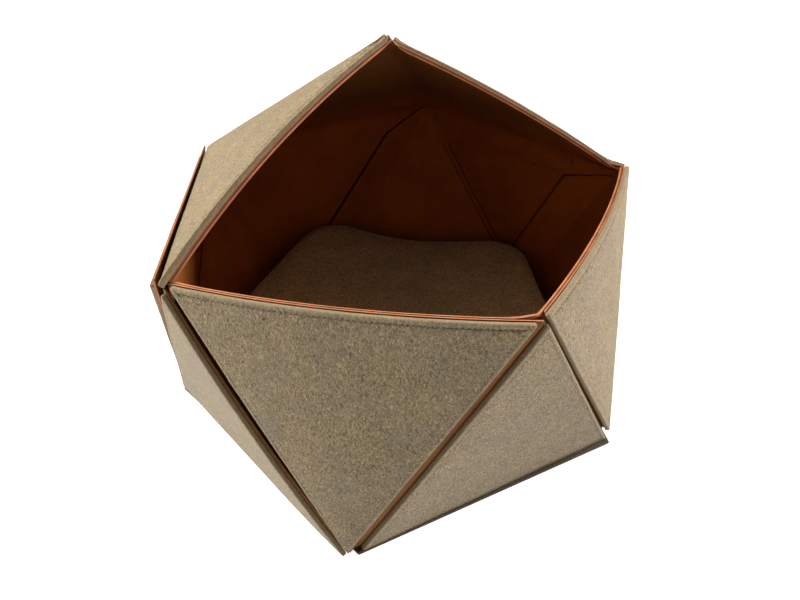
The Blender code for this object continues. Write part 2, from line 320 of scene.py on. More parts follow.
class Panel:
    """One triangle of the shell. Its first side may bow, and the bow fades to its last corner."""

    def __init__(self, name, lifted=True):
        fold = fold_corners()
        self.name = name
        self.names = PANELS[name][:3]
        self.bow = PANELS[name][3]
        self.normal = shell_normal(fold, self.names)
        self.corners = []
        for corner in self.names:
            lift = STAND_OFF.get((name, corner), 0.0) if lifted else 0.0
            shift = Vector(CORNER_SHIFT.get((name, corner), (0, 0, 0))) if lifted else Vector()
            self.corners.append(fold[corner] + self.normal * lift + shift)
        a, b, c = self.corners
        self.x_axis = (b - a).normalized()
        across = c - a
        self.y_axis = (across - self.x_axis * across.dot(self.x_axis)).normalized()
        self.up = self.x_axis.cross(self.y_axis)
        if self.up.dot(self.normal) < 0:
            self.up = -self.up
        self.flat = [Vector(((p - a).dot(self.x_axis), (p - a).dot(self.y_axis))) for p in self.corners]
        self.centre = sum(self.flat, Vector((0, 0))) / 3
        self.swells = [SWELL.get((name, i), 0.0) if lifted else 0.0 for i in range(3)]
        self.insets = FELT_INSETS.get(name, FELT_INSET_ELSEWHERE)
        self.seed = 3.1 * list(PANELS).index(name)
        self.uneven = 1.0

    def side(self, i):
        return (self.names[i], self.names[(i + 1) % 3])

    def is_free(self, i):
        pair = set(self.side(i))
        return neighbour(self.name, self.side(i)) is None and not all(c[0] == "L" for c in pair)

    def along(self, flat):
        """Where the line from the last corner through a place meets the first side, and its share."""
        share = max(1e-5, 1 - flat.y / self.flat[2].y)
        left = self.flat[2].x * (1 - share)
        along = (flat.x - left) / (self.flat[1].x * share)
        return min(1.2, max(-0.2, along)), share

    def swell(self, flat):
        """How far the surface swells at a place, from each side that does."""
        total = 0.0
        for i, amount in enumerate(self.swells):
            if amount:
                start, end = self.flat[i], self.flat[(i + 1) % 3]
                run = end - start
                along = (flat - start).dot(run) / run.length_squared
                away = abs(run.x * (flat.y - start.y) - run.y * (flat.x - start.x)) / run.length
                fade = max(0.0, 1 - away / self.flat[2].y)
                total += amount * max(0.0, 4 * along * (1 - along)) * fade * fade
        return total

    def place(self, flat, level):
        """The point over a place in the flat triangle, at a level above the backing's face."""
        level += self.swell(flat)
        point = self.corners[0] + self.x_axis * flat.x + self.y_axis * flat.y
        if not self.bow:
            return point + self.up * level
        along, share = self.along(flat)
        point += self.up * (self.bow * 4 * along * (1 - along) * share)
        slope = self.bow * 4 * (1 - 2 * along) / self.flat[1].x
        normal = (self.up - self.x_axis * slope).normalized()
        return point + normal * level


class Base:
    """The flat pentagon under the shell, used as a panel whose outside faces down."""

    def __init__(self):
        fold = fold_corners()
        self.name = "base"
        self.flat = [fold[f"L{k}"].xy for k in range(CORNERS)]
        self.centre = sum(self.flat, Vector((0, 0))) / CORNERS
        self.floor = fold["L0"].z
        self.up = Vector((0, 0, -1))
        self.insets = BASE_FELT_INSETS
        self.seed = 47.0
        self.uneven = 0.0

    def is_free(self, i):
        return False

    def place(self, flat, level):
        return Vector((flat.x, flat.y, self.floor - level))


def crossing(start, end, from_point, to_point):
    """Where the line from start to end crosses the line through the other two points."""
    run, cut = end - start, to_point - from_point
    cross = run.x * cut.y - run.y * cut.x
    offset = from_point - start
    return start + run * ((offset.x * cut.y - offset.y * cut.x) / cross)


def inset_corners(corners, insets):
    """The corners of a flat outline after each side has moved in, by its inset at start and end."""
    lines = []
    for i, start in enumerate(corners):
        end = corners[(i + 1) % len(corners)]
        across = (end - start).normalized()
        across = Vector((-across.y, across.x))
        lines.append((start + across * insets[i][0], end + across * insets[i][1]))
    return [crossing(*lines[i - 1], *lines[i]) for i in range(len(corners))]


def grown(insets, distance):
    """The same insets, each larger by a distance."""
    return [(start + distance, end + distance) for start, end in insets]


def ring_of(corners, insets, radius):
    """A flat outline as a fixed number of points: an arc at each corner, then a run of the side."""
    inner = inset_corners(corners, insets)
    arcs = []
    for i, corner in enumerate(inner):
        back = (inner[i - 1] - corner).normalized()
        ahead = (inner[(i + 1) % len(inner)] - corner).normalized()
        half = back.angle(ahead) / 2
        centre = corner + (back + ahead).normalized() * (radius / math.sin(half))
        first = corner + back * (radius / math.tan(half)) - centre
        last = corner + ahead * (radius / math.tan(half)) - centre
        arcs.append(
            [centre + first.lerp(last, k / ARC_STEPS).normalized() * radius for k in range(ARC_STEPS + 1)]
        )
    points = []
    for i, arc in enumerate(arcs):
        points.extend(arc)
        start, end = arc[-1], arcs[(i + 1) % len(arcs)][0]
        points.extend(start.lerp(end, k / SIDE_STEPS) for k in range(1, SIDE_STEPS))
    return points


# Mesh building


def deselect():
    for obj in bpy.context.selected_objects:
        obj.select_set(False)


def activate(obj):
    """Selects one object alone, for the operators that follow."""
    deselect()
    obj.select_set(True)
    bpy.context.view_layer.objects.active = obj


def piece_from_active(name):
    """Names the object that an operator has just added, and its mesh."""
    obj = bpy.context.object
    obj.name = name
    obj.data.name = name
    return obj


def rest_at_origin(obj):
    """Puts an object's place, turn and size into its mesh."""
    obj.data.transform(obj.matrix_world)
    obj.matrix_world = Matrix.Identity(4)


def edit(obj, *steps):
    """Runs edit-mode operators on the whole of one mesh."""
    activate(obj)
    bpy.ops.object.mode_set(mode="EDIT")
    bpy.ops.mesh.select_all(action="SELECT")
    for operator, settings in steps:
        operator(**settings)
    bpy.ops.object.mode_set(mode="OBJECT")


def in_grid_order(rows):
    """The values of all rings in the order of a grid's points, which hold each ring's start twice."""
    return [row[i % len(row)] for row in rows for i in range(len(row) + 1)]


def grid_through(name, rings):
    """A grid whose rows lie on rings of equal length."""
    deselect()
    columns, rows = len(rings[0]), len(rings)
    bpy.ops.mesh.primitive_grid_add(x_subdivisions=columns, y_subdivisions=rows - 1, size=1)
    obj = piece_from_active(name)
    move_points(obj, in_grid_order(rings))
    return obj


def move_points(obj, places):
    obj.data.vertices.foreach_set("co", np.array(places, dtype=np.float32).ravel())


def set_attribute(mesh, name, rows):
    """Keeps a number or a vector of each point of the rings with the mesh."""
    values = np.array(in_grid_order(rows), dtype=np.float32)
    vector = values.ndim > 1
    attribute = mesh.attributes.new(name, "FLOAT_VECTOR" if vector else "FLOAT", "POINT")
    attribute.data.foreach_set("vector" if vector else "value", values.ravel())


def mesh_object(name, points, faces):
    mesh = bpy.data.meshes.new(name)
    mesh.from_pydata(points, [], faces)
    obj = bpy.data.objects.new(name, mesh)
    bpy.context.collection.objects.link(obj)
    return obj


def loft(name, rings, cloth=None, edge=None, groove=None, crease=None):
    """A closed skin through rings of equal length, whose first and last ring are a point.

    cloth holds the place of each point on the cloth, edge its distance from the cut edge, and
    groove how deep the stitch line is there. crease is 1 where painted shade turns the leather nearly
    black, in the gaps along laps and folds.
    """
    obj = grid_through(name, rings)
    for key, rows in (("cloth", cloth), ("edge", edge), ("groove", groove), ("crease", crease)):
        if rows:
            set_attribute(obj.data, key, rows)
    edit(
        obj,
        (bpy.ops.mesh.remove_doubles, {"threshold": 1e-6}),
        (bpy.ops.mesh.normals_make_consistent, {"inside": False}),
    )
    return obj


def modify(obj, kind, **settings):
    """Adds a modifier and applies it."""
    activate(obj)
    modifier = obj.modifiers.new(kind.title(), kind)
    for key, value in settings.items():
        setattr(modifier, key, value)
    bpy.ops.object.modifier_apply(modifier=modifier.name)


def smooth_by_angle(obj, degrees):
    activate(obj)
    bpy.ops.object.shade_smooth_by_angle(angle=math.radians(degrees))


def finish_piece(obj, slot, *materials):
    obj.data.materials.clear()
    for material in materials:
        obj.data.materials.append(material)
    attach(obj, "root")


def wave(point, scale, seed=0.0):
    """A smooth number from -1 to 1 that changes over about 1 / scale metres."""
    return noise.noise(Vector(point) * scale + Vector((seed, seed * 1.7, -seed)))


# Shader building


class Value:
    """A number or vector socket of a shader, so that maths on it reads as an expression."""

    def __init__(self, shader, socket):
        self.shader = shader
        self.socket = socket

    def math(self, operation, *others, clamp=False):
        inputs = dict(enumerate((self, *others)))
        settings = {"operation": operation, "use_clamp": clamp}
        return self.shader.node("ShaderNodeMath", settings, inputs)

    def __add__(self, other):
        return self.math("ADD", other)

    def __sub__(self, other):
        return self.math("SUBTRACT", other)

    def __mul__(self, other):
        return self.math("MULTIPLY", other)

    def __truediv__(self, other):
        return self.math("DIVIDE", other)

    def __rsub__(self, other):
        return self.shader.node("ShaderNodeMath", {"operation": "SUBTRACT"}, {0: other, 1: self})

    __radd__ = __add__
    __rmul__ = __mul__

    def clamp(self):
        return self.math("ADD", 0.0, clamp=True)

    def absolute(self):
        return self.math("ABSOLUTE")

    def band(self, centre, width):
        """1 at centre, falling to 0 at width from it."""
        return (1 - (self - centre).absolute() / width).clamp()

    def between(self, low, high, start=0.0, end=1.0):
        """start at low and end at high, smoothly."""
        settings = {"interpolation_type": "SMOOTHSTEP"}
        inputs = {"Value": self, "From Min": low, "From Max": high, "To Min": start, "To Max": end}
        return self.shader.node("ShaderNodeMapRange", settings, inputs)


class Shader:
    """One material's node tree and its Principled shader."""

    def __init__(self, name, **constants):
        self.material = bpy.data.materials.new(name)
        self.material.use_nodes = True
        self.tree = self.material.node_tree
        self.principled = self.tree.nodes["Principled BSDF"]
        for socket, value in constants.items():
            self.principled.inputs[socket.replace("_", " ")].default_value = value

    def node(self, kind, settings=None, inputs=None, output=0):
        """Any node: its settings are set first, then the values or links of its sockets."""
        made = self.tree.nodes.new(kind)
        for key, value in (settings or {}).items():
            setattr(made, key, value)
        for key, value in (inputs or {}).items():
            if isinstance(value, Value):
                self.tree.links.new(value.socket, made.inputs[key])
            else:
                made.inputs[key].default_value = value
        return Value(self, made.outputs[output])

    def feed(self, socket, value):
        self.tree.links.new(value.socket, self.principled.inputs[socket])

    def object_place(self):
        return self.node("ShaderNodeTexCoord", output="Object")

    def attribute(self, name, output="Vector"):
        return self.node("ShaderNodeAttribute", {"attribute_name": name}, output=output)

    def turned(self, vector, degrees, scale):
        """The vector turned about Z and scaled along its own axes."""
        inputs = {"Vector": vector, "Rotation": (0, 0, math.radians(degrees)), "Scale": scale}
        return self.node("ShaderNodeMapping", None, inputs)

    def noise(self, vector, scale, detail=2.0, roughness=0.5, distortion=0.0, output="Fac"):
        inputs = {
            "Vector": vector,
            "Scale": scale,
            "Detail": detail,
            "Roughness": roughness,
            "Distortion": distortion,
        }
        return self.node("ShaderNodeTexNoise", None, inputs, output)

    def shifted(self, vector, by, amount):
        """The vector moved by a colour, so that a pattern on it bends."""
        moved = self.node("ShaderNodeVectorMath", {"operation": "SCALE"}, {0: by, "Scale": amount})
        return self.node("ShaderNodeVectorMath", {"operation": "ADD"}, {0: vector, 1: moved})

    def mix(self, factor, low, high, blend="MIX"):
        """A blend of two colours."""
        made = self.tree.nodes.new("ShaderNodeMix")
        made.data_type = "RGBA"
        made.blend_type = blend
        for socket, value in ((made.inputs[0], factor), (made.inputs[6], low), (made.inputs[7], high)):
            if isinstance(value, Value):
                self.tree.links.new(value.socket, socket)
            elif socket == made.inputs[0]:
                socket.default_value = value
            else:
                socket.default_value = (*value, 1)
        return Value(self, made.outputs[2])

    def bump(self, height, strength, distance):
        inputs = {"Height": height, "Strength": strength, "Distance": distance}
        self.feed("Normal", self.node("ShaderNodeBump", None, inputs))


def tone(colour, factor):
    return tuple(min(1.0, c * factor) for c in colour)


FELT_COOL = (0.172, 0.158, 0.128)  # the greyer patches
FELT_WALL = (0.215, 0.150, 0.085)  # the cut edge
FELT_PAINTED_SHADE = (0.020, 0.020, 0.022)  # near black that a felt is darkened towards as painted shade, used for the base felt
PAINTED_SHADE_RISE = 70 * MM  # height over which painted shade darkens the lining towards the top


def felt_material(name="felt", shade=1.0):
    """Mottled wool felt: short pale and dark fibres, cloudy patches and a pressed stitch line darkened by
    painted shade, with a painted highlight along its edge; a shade below 1 adds painted shade over all of
    it.
    """
    s = Shader(name, Roughness=0.96, Specular_IOR_Level=0.25, Sheen_Weight=0.12, Sheen_Roughness=0.6)
    c = colours()
    dark, light = tuple(c.felt_dark), tuple(c.felt_light)
    cloth = s.attribute("cloth")
    edge = s.attribute("edge", "Fac")
    pressed = s.attribute("groove", "Fac")
    curly = s.shifted(cloth, s.noise(cloth, 130, 2, output="Color"), 0.007)
    fibres = None
    for turn, weight in ((18, 0.36), (74, 0.34), (131, 0.30)):
        lying = s.turned(curly, turn, (1.0, 0.42, 0.6))
        strand = s.noise(lying, 820, 2, 0.65) * weight
        fibres = strand if fibres is None else fibres + strand
    fibres = fibres.between(0.42, 0.58)
    fine = s.noise(cloth, 1000, 2, 0.75).between(0.38, 0.62)
    cloud = s.noise(cloth, 34, 3, 0.6, 0.5).between(0.32, 0.68)
    patch = s.noise(cloth, 150, 2, 0.5).between(0.3, 0.7)
    lightness = fibres * 0.50 + fine * 0.30 + patch * 0.10 + cloud * 0.10
    base = s.mix(lightness, dark, light)
    cool = s.noise(cloth, 27, 2, 0.5, 0.5).between(0.38, 0.72)
    base = s.mix(cool * 0.34, base, FELT_COOL)
    flecks = s.noise(s.turned(curly, 50, (1, 0.4, 0.6)), 980, 1, 0.5).between(0.64, 0.72)
    base = s.mix(flecks * 0.65, base, tone(light, 1.45))
    hairs = s.noise(s.turned(curly, 155, (1, 0.35, 0.6)), 930, 1, 0.5).between(0.645, 0.72)
    base = s.mix(hairs * 0.7, base, tone(dark, 0.35))
    # painted shade: the pressed stitch line is darkened towards the dark fibres
    groove = edge.band(sizes().stitch_inset, 1.2 * MM) * pressed
    base = s.mix(groove * 0.55, base, tone(dark, 0.55))
    # painted highlight: the felt is lightened within about 3 mm of its edge, where the arris catches light
    rim = edge.between(0.2 * MM, 3.0 * MM, 1.0, 0.0)
    base = s.mix(rim * 0.30, base, tone(light, 1.1))
    wall = edge.between(0.02 * MM, 0.3 * MM, 1.0, 0.0)
    layers = s.noise(s.turned(cloth, 0, (0.5, 0.5, 3.0)), 600, 2, 0.6)
    base = s.mix(wall * layers.between(0.3, 0.7, 0.35, 0.9), base, FELT_WALL)
    # painted shade: a shade below 1 darkens the whole felt towards near black, as for the base felt in
    # shadow
    if shade < 1:
        base = s.mix(1 - shade, base, FELT_PAINTED_SHADE)
    s.feed("Base Color", base)
    s.bump(fibres * 0.6 + fine * 0.35 + patch * 0.4, 0.6, 0.5 * MM)
    return s.material


def leather_material(name, colour, scuffing=1.0, painted_shade_above=None):
    """Tan leather with a fine pebbled grain, soft creases and uneven dye; painted shade turns it nearly
    black along its crease lines and darkens it towards the top.
    """
    s = Shader(name, Roughness=0.55, Specular_IOR_Level=0.22)
    place = s.object_place()
    pebbles = s.shifted(place, s.noise(place, 300, 2, output="Color"), 0.002)
    grain = s.node(
        "ShaderNodeTexVoronoi",
        {"feature": "SMOOTH_F1"},
        {"Vector": pebbles, "Scale": 620, "Smoothness": 0.4},
        "Distance",
    )
    pores = s.noise(place, 1500, 2, 0.6)
    dye = s.noise(place, 18, 3, 0.6, 0.3).between(0.3, 0.7)
    scuff = s.noise(place, 70, 4, 0.7, 0.8).between(0.45, 0.75)
    base = s.mix(dye, tone(colour, 0.84), tone(colour, 1.12))
    base = s.mix(scuff * 0.25 * scuffing, base, tone(colour, 1.45))
    base = s.mix(grain.between(0.35, 0.8) * 0.30, base, tone(colour, 0.62))
    # painted shade: where the crease attribute is 1 the leather turns nearly black, as shadow in the gaps
    # along laps and folds
    base = s.mix(s.attribute("crease", "Fac") * 0.93, base, tone(colour, 0.03))
    # painted shade: above a given height the leather darkens towards the top
    if painted_shade_above:
        height = s.node("ShaderNodeSeparateXYZ", None, {"Vector": place}, "Z")
        upper = height.between(painted_shade_above, painted_shade_above + PAINTED_SHADE_RISE)
        base = s.mix(upper * 0.9, base, tone(colour, 0.22))
    s.feed("Base Color", base)
    s.feed("Roughness", scuff * 0.12 + 0.46 + pores * 0.08)
    s.bump((1 - grain) * 0.7 + pores * 0.2 + s.noise(place, 35, 2) * 1.5, 0.35, 0.35 * MM)
    return s.material


def cut_edge_material():
    """The leather's cut edge: paler, rough, with fibres along the cut."""
    s = Shader("leather_cut_edge", Roughness=0.8, Specular_IOR_Level=0.3)
    colour = tuple(colours().leather_edge)
    place = s.object_place()
    fibre = s.noise(place, 420, 3, 0.7)
    patch = s.noise(place, 60, 3, 0.6).between(0.3, 0.7)
    base = s.mix(patch, tone(colour, 0.82), tone(colour, 1.12))
    base = s.mix(fibre.between(0.5, 0.75) * 0.4, base, tone(colour, 0.6))
    s.feed("Base Color", base)
    s.bump(fibre + patch * 0.5, 0.5, 0.3 * MM)
    return s.material


def pile_material():
    """A short, dense pile that lies in small uneven tufts."""
    s = Shader("pile", Roughness=0.97, Specular_IOR_Level=0.2, Sheen_Weight=0.25, Sheen_Roughness=0.5)
    colour = tuple(colours().pile)
    place = s.object_place()
    tuft = s.node("ShaderNodeTexVoronoi", {"feature": "F1"}, {"Vector": place, "Scale": 420}, "Distance")
    loose = s.noise(place, 520, 3, 0.7)
    patch = s.noise(place, 40, 3, 0.6, 0.5).between(0.3, 0.7)
    shade = (1 - tuft) * 0.35 + loose.between(0.36, 0.64) * 0.50 + patch * 0.15
    base = s.mix(shade, tone(colour, 0.42), tone(colour, 1.5))
    s.feed("Base Color", base)
    s.bump((1 - tuft) * 0.8 + loose * 1.4, 0.9, 1.4 * MM)
    return s.material


def thread_material():
    """Spun sewing thread with a fine twist."""
    s = Shader("thread", Roughness=0.8, Specular_IOR_Level=0.35)
    colour = tuple(colours().thread)
    place = s.object_place()
    twist = s.noise(place, 1800, 2, 0.6)
    s.feed("Base Color", s.mix(twist.between(0.35, 0.65), tone(colour, 0.62), tone(colour, 1.15)))
    s.bump(twist, 0.5, 0.15 * MM)
    return s.material


# height above which painted shade starts to darken the lining
LINING_PAINTED_SHADE_ABOVE = 215 * MM
MATERIAL_MAKERS = {
    "felt": felt_material,
    # the base felt keeps 0.3 of its colour; the rest is painted shade, as it lies in shadow under the
    # walls' edges
    "base_felt": lambda: felt_material("base_felt", 0.3),
    "leather": lambda: leather_material("leather", tuple(colours().leather)),
    "cut_edge": cut_edge_material,
    "lining": lambda: leather_material("lining_leather", tuple(colours().lining), 0.6, LINING_PAINTED_SHADE_ABOVE),
    "pile": pile_material,
    "thread": thread_material,
}
MADE = {}


def material(name):
    """Each material is made once, when the first piece needs it."""
    if name not in MADE:
        MADE[name] = MATERIAL_MAKERS[name]()
    return MADE[name]


# Pieces

# Top of a felt panel from its edge inwards, in mm: distance from the edge, drop from its full
# height, and depth of the pressed stitch line
FELT_TOP = (
    (0.00, 1.30, 0.0),
    (0.10, 0.80, 0.0),
    (0.35, 0.38, 0.0),
    (0.80, 0.16, 0.0),
    (1.60, 0.04, 0.0),
    (2.60, 0.00, 0.06),
    (3.30, 0.00, 0.30),
    (3.90, 0.00, 0.74),
    (4.40, 0.00, 0.98),
    (4.90, 0.00, 0.74),
    (5.50, 0.00, 0.32),
    (6.40, 0.00, 0.06),
    (8.00, -0.06, 0.0),
    (11.0, -0.10, 0.0),
    (16.0, -0.10, 0.0),
    (23.0, -0.08, 0.0),
    (31.0, -0.05, 0.0),
    (40.0, -0.02, 0.0),
    (50.0, 0.00, 0.0),
    (60.0, 0.00, 0.0),
    (68.0, 0.00, 0.0),
)
# Its side and underside from the middle out: distance from the edge and height above the backing
FELT_UNDER = ((40.0, 0.0), (6.0, 0.0), (0.50, 0.0), (0.12, 0.25), (0.00, 0.90), (-0.05, 1.90))
FELT_RADIUS = 1.3 * MM  # of the corners
FELT_RADIUS_LEAST = 0.25 * MM
EDGE_WANDER = 9 * MM  # distance from the edge over which the cut is uneven
BASE_THINNED = 1.5 * MM  # the base felt is pressed thinner under the walls' edges
SEAM_GROOVE = 0.45  # depth of the stitch line along a seam, as a share of that along the rim
# How much thinner the felt is at the start and at the end of a panel's rim
RIM_PRESS = {
    "hood_right": (2.2 * MM, 2.2 * MM),
    "hood_left": (2.2 * MM, -1.0 * MM),
    "front_left": (0.5 * MM, 0.5 * MM),
    "front_right": (0.5 * MM, 0.5 * MM),
}
RIM_PRESS_REACH = 7 * MM
ARC_STEPS = 6
SIDE_STEPS = 84
FAR_INSIDE = 70 * MM  # distance from the edge that is given to a panel's middle


def groove_share(panel, k):
    """How deep the stitch line is at a point of the ring: full along the rim, less along a seam."""
    count = len(panel.flat)
    i, step = divmod(k, ARC_STEPS + SIDE_STEPS)
    own, before = (1.0 if panel.is_free(j % count) else SEAM_GROOVE for j in (i, i - 1))
    return own if step > ARC_STEPS else before + (own - before) * step / ARC_STEPS


def rim_press(panel, along, inset):
    """How much thinner the felt is at a distance from the rim, part way along it."""
    start, end = RIM_PRESS.get(panel.name, (0.0, 0.0))
    return (start + (end - start) * along) * math.exp(-max(0.0, inset) / RIM_PRESS_REACH)


def felt_lift(panel, base):
    """How uneven the felt's face is at a place."""
    lift = 0.45 * MM * wave(base, 13, panel.seed) + 0.14 * MM * wave(base, 55, panel.seed)
    return lift * panel.uneven


def corner_curl(panel, flat):
    """How far the felt's corner curls up at a place."""
    curl = 0.0
    for i, corner in enumerate(getattr(panel, "names", ())):
        amount = CURL.get((panel.name, corner), 0.0)
        if amount:
            curl += amount * math.exp(-(((flat - panel.flat[i]).length / CURL_REACH) ** 2))
    return curl


def felt_ring(panel, distance, level, groove=0.0):
    """A ring of a felt panel: its points in space, on the cloth, their distance from the edge, and
    how deep the stitch line is at each."""
    radius = max(FELT_RADIUS_LEAST, FELT_RADIUS - max(0.0, distance) * 0.4)
    flats = ring_of(panel.flat, grown(mm_pairs(panel.insets), distance), radius)
    points, cloth, grooves = [], [], []
    fade = math.exp(-max(0.0, distance) / EDGE_WANDER)
    for k, flat in enumerate(flats):
        base = panel.place(flat, 0.0)
        out = (flat - panel.centre).normalized()
        shift = 0.26 * MM * wave(base, 45, panel.seed) + 0.16 * MM * wave(base, 160, panel.seed)
        moved = flat + out * (shift * fade * panel.uneven)
        lift = 0.0
        share = groove_share(panel, k)
        if level > 1.0 * MM:
            lift = felt_lift(panel, base) + 0.10 * MM * wave(base, 220, panel.seed) * fade
            lift -= groove * share * (0.85 + 0.4 * wave(base, 140, panel.seed + 9))
            i, step = divmod(k, ARC_STEPS + SIDE_STEPS)
            along = max(0.0, (step - ARC_STEPS) / SIDE_STEPS) if i == 0 else float(i == 1)
            lift -= rim_press(panel, along, distance) * (share - SEAM_GROOVE) / (1 - SEAM_GROOVE)
        lift += corner_curl(panel, flat)
        points.append(panel.place(moved, level + lift))
        cloth.append((moved.x + panel.seed, moved.y, level + lift))
        grooves.append(share)
    return points, cloth, [distance] * len(flats), grooves


def mm_pairs(pairs):
    return [(start * MM, end * MM) for start, end in pairs]


def build_felt(panel):
    """One felt panel, or the base's felt: its underside, its cut edge and its top."""
    full = LAYER_GAP + sizes().felt
    count = len(panel.flat) * (ARC_STEPS + SIDE_STEPS)

    def point_ring(level):
        place = panel.place(panel.centre, level)
        middle = (panel.centre.x + panel.seed, panel.centre.y, level)
        return [place] * count, [middle] * count, [FAR_INSIDE] * count, [0.0] * count

    def rings_at(rows):
        return [felt_ring(panel, d * MM, level, groove * MM) for d, level, groove in rows]

    if panel.uneven:
        rows = [(d, LAYER_GAP + h * MM, 0.0) for d, h in FELT_UNDER]
        rows += [(d, full - drop * MM, groove) for d, drop, groove in FELT_TOP]
    else:
        rows = [(d, LAYER_GAP + h * MM + BASE_THINNED * (d < 12), 0.0) for d, h in FELT_UNDER[:4]]
        rows += [(0.0, full - 1.2 * MM, 0.0)]
        rows += [(d, full - drop * MM, 0.0) for d, drop, _ in FELT_TOP[1:5]]
        rows += [(d, full, 0.0) for d in (12, 60, 120)]
    made = [point_ring(LAYER_GAP), *rings_at(rows), point_ring(full)]
    obj = loft(f"felt_panel_{panel.name}", *zip(*made))
    smooth_by_angle(obj, 60)
    finish_piece(obj, "grey_beige_felt", material("felt" if panel.uneven else "base_felt"))
    return obj


STITCH_HALF = (1.65 * MM, 0.46 * MM, 0.40 * MM)  # half of a stitch's length, width and height
STITCH_DIVE = 0.55 * MM  # how far its ends go down
STITCH_DEPTH = 0.98 * MM  # depth of the full stitch line, that the stitches lie in
STITCH_PROUD = 0.10 * MM
STITCH_MARGIN = 1.2 * MM  # from the corner of the stitch line to the first stitch


def stitch_model():
    """One stitch: a short thread whose ends dive into the felt. Its points and faces, at the origin."""
    deselect()
    bpy.ops.mesh.primitive_uv_sphere_add(segments=8, ring_count=6, radius=1.0)
    obj = bpy.context.object
    obj.rotation_euler = (0, math.radians(90), 0)
    bpy.context.view_layer.update()
    rest_at_origin(obj)
    points = np.array([v.co[:] for v in obj.data.vertices])
    faces = [tuple(f.vertices) for f in obj.data.polygons]
    bpy.data.objects.remove(obj, do_unlink=True)
    points = points * STITCH_HALF
    points[:, 2] -= STITCH_DIVE * (points[:, 0] / STITCH_HALF[0]) ** 2
    return points, faces


def build_stitches(panel, model):
    """The row of stitches along the pressed line of one felt panel."""
    points, faces = model
    inset, pitch = sizes().stitch_inset, sizes().stitch_pitch
    corners = inset_corners(panel.flat, grown(mm_pairs(panel.insets), inset))
    all_points, all_faces = [], []
    for i in range(3):
        share = 1.0 if panel.is_free(i) else SEAM_GROOVE
        level = LAYER_GAP + sizes().felt - share * STITCH_DEPTH + STITCH_PROUD
        start, end = corners[i], corners[(i + 1) % 3]
        run = (end - start).normalized()
        length = (end - start).length - 2 * STITCH_MARGIN
        count = round(length / pitch)
        for k in range(count):
            middle = start + run * (STITCH_MARGIN + length * (k + 0.5) / count)
            base = panel.place(middle, 0.0)
            lift = felt_lift(panel, base)
            if panel.is_free(i):
                lift -= rim_press(panel, (k + 0.5) / count, inset)
            lean = 0.07 * wave(base, 900, 5.0)
            ahead = run * math.cos(lean) + Vector((-run.y, run.x)) * math.sin(lean)
            lift += corner_curl(panel, middle)
            centre = panel.place(middle, level + lift)
            x_axis = (panel.place(middle + ahead * MM, level) - panel.place(middle, level)).normalized()
            z_axis = (panel.place(middle, level + MM) - panel.place(middle, level)).normalized()
            y_axis = z_axis.cross(x_axis)
            turn = np.array([x_axis, y_axis, z_axis])
            offset = len(all_points) * len(points)
            all_points.append(points @ turn + np.array(centre))
            all_faces.extend(tuple(v + offset for v in face) for face in faces)
    obj = mesh_object(f"stitches_{panel.name}", np.concatenate(all_points).tolist(), all_faces)
    edit(obj, (bpy.ops.mesh.normals_make_consistent, {"inside": False}))
    obj.data.shade_smooth()
    finish_piece(obj, "grey_beige_felt", material("thread"))
    return obj


def flap_row(panel, i):
    """The plane that a side's flap lies on, as (into, up) directions, or None if it has no flap."""
    pair = panel.side(i)
    owned = any(name == panel.name and {a, b} == set(pair) for name, a, b in FLAPS)
    if not owned:
        return None
    fold = fold_corners()
    a, b = fold[pair[0]], fold[pair[1]]
    run = (b - a).normalized()
    near = Panel(neighbour(panel.name, pair), lifted=False)
    up, far = near.up, sum(near.corners, Vector()) / 3
    into = far - a
    into -= run * into.dot(run)
    into -= up * into.dot(up)
    return into.normalized(), up


def backing_insets(panel):
    """The backing reaches each fold, but stops under its felt where the next panel's flap lies."""
    insets = []
    for i, (start, end) in enumerate(mm_pairs(panel.insets)):
        pair = set(panel.side(i))
        taken = any(name != panel.name and {a, b} == pair for name, a, b in FLAPS)
        flange = FLANGES.get((panel.name, i))
        if flange:
            insets.append((-flange[0] * MM, -flange[1] * MM))
        elif panel.is_free(i) or flap_row(panel, i):
            insets.append((0.0, 0.0))
        elif taken:
            insets.append((max(0.0, start) + UNDER_FELT, max(0.0, end) + UNDER_FELT))
        else:
            insets.append((SHORT_OF_FOLD, SHORT_OF_FOLD))
    return insets


def flap_reach(panel, i, along):
    """How far the flap of a side reaches over the fold: just under the next panel's felt."""
    pair = panel.side(i)
    other = Panel(neighbour(panel.name, pair))
    sides = [other.side(j) for j in range(3)]
    j = next(j for j in range(3) if set(sides[j]) == set(pair))
    start, end = other.insets[j]
    if sides[j] == pair:
        start, end = end, start
    return max(0.8, end + (start - end) * along - 0.3) * MM


UNDER_FELT = 2.2 * MM  # how far a backing stops inside its felt's edge, where a flap lies beside it
SHORT_OF_FOLD = 0.4 * MM
BACKING_RADIUS = 1.6  # of the corners, in mm
FLAP_TAPER = 5 * MM  # length at each end over which a flap runs out
# Backing rings from the outside in: share of the flap, distance from the outline, drop
BACKING_RINGS = (
    (1.00, 0.0, 0.0),
    (0.66, 0.1, 0.0),
    (0.33, 0.2, 0.0),
    (0.12, 0.3, -0.05),
    (0.00, 0.4, -0.16),
    (0.00, 1.2, -0.05),
    (0.00, 3.0, 0.0),
    (0.00, 12.0, 0.0),
    (0.00, 30.0, 0.0),
    (0.00, 55.0, 0.0),
)
BASE_BACKING_RINGS = (-1.5, -1.0, 6.0, 30.0, 80.0, 130.0)  # distance from the folds


def build_base_backing(base):
    """The leather pentagon between the base felt and the lining."""
    rings = []
    for distance in BASE_BACKING_RINGS:
        insets = ((distance * MM, distance * MM),) * CORNERS
        flats = ring_of(base.flat, insets, max(0.5, 4.0 - distance * 0.3) * MM)
        rings.append([base.place(flat, 0.0) for flat in flats])
    rings.append([base.place(base.centre, 0.0)] * len(rings[0]))
    return leather_sheet("base_backing_sheet", rings, base)


